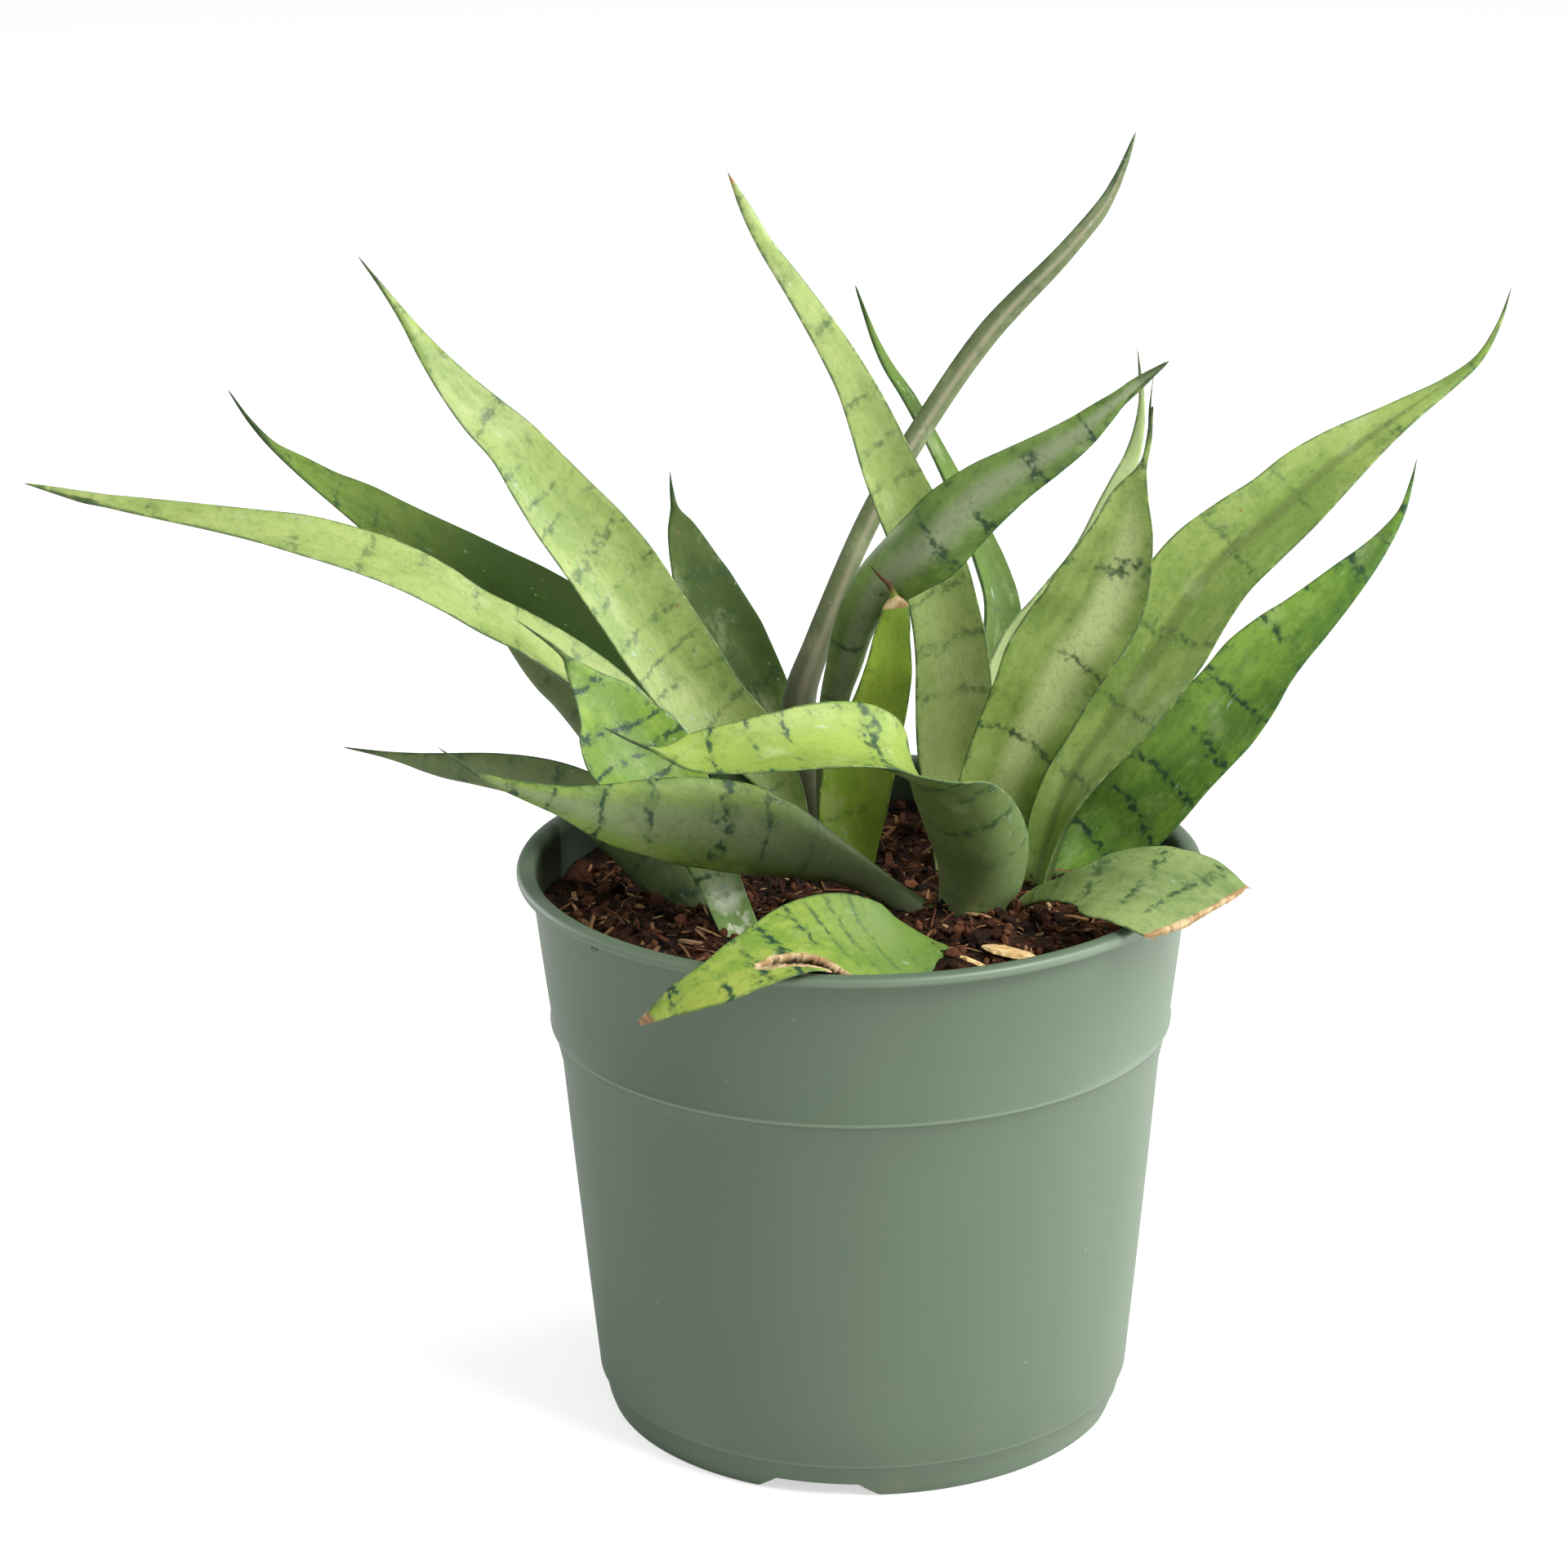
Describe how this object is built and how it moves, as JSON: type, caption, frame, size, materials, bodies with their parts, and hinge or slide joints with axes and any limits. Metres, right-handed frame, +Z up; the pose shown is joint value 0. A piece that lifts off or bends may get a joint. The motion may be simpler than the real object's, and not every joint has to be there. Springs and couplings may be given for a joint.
{
  "type": "potted snake plant",
  "caption": "Young snake plant with curved pointed leaves, growing from potting mix in a round tapered nursery pot with a rolled lip and drain pockets.",
  "frame": {"origin": "middle of the pot's flat underside, on the surface it stands on", "axes": "+Z up along the pot's axis; the plant's front faces -Y; +X is to the right seen from the front"},
  "size_m": [0.354, 0.2072, 0.304],
  "materials": {
    "pot_plastic": "satin",
    "potting_mix": "matte",
    "leaf_light": "satin",
    "leaf_lime": "satin",
    "leaf_mid": "satin",
    "leaf_dark": "satin",
    "wood_chip": "matte"
  },
  "bodies": {
    "root": {"pot": "pot_plastic", "soil": "potting_mix", "leaf_curled_front": "leaf_lime", "leaf_cut": "leaf_mid", "leaf_wide_right": "leaf_light", "leaf_low_right": "leaf_mid", "leaf_front_channel": "leaf_light", "leaf_behind_channel": "leaf_light", "leaf_tall_centre": "leaf_light", "leaf_slender_back": "leaf_mid", "leaf_crossing": "leaf_mid", "leaf_slender_right": "leaf_dark", "leaf_tall_left": "leaf_light", "leaf_short_back": "leaf_dark", "leaf_far_left": "leaf_light", "leaf_back_left": "leaf_mid", "leaf_under_left": "leaf_dark", "leaf_bright_left": "leaf_lime", "leaf_low_left": "leaf_mid", "leaf_thin_low_left": "leaf_dark", "leaf_over_rim": "leaf_lime", "leaf_broken": "leaf_lime", "wood_chip_large": "wood_chip", "wood_chip_upright": "wood_chip", "wood_chip_small": "wood_chip"}
  },
  "joints": []
}
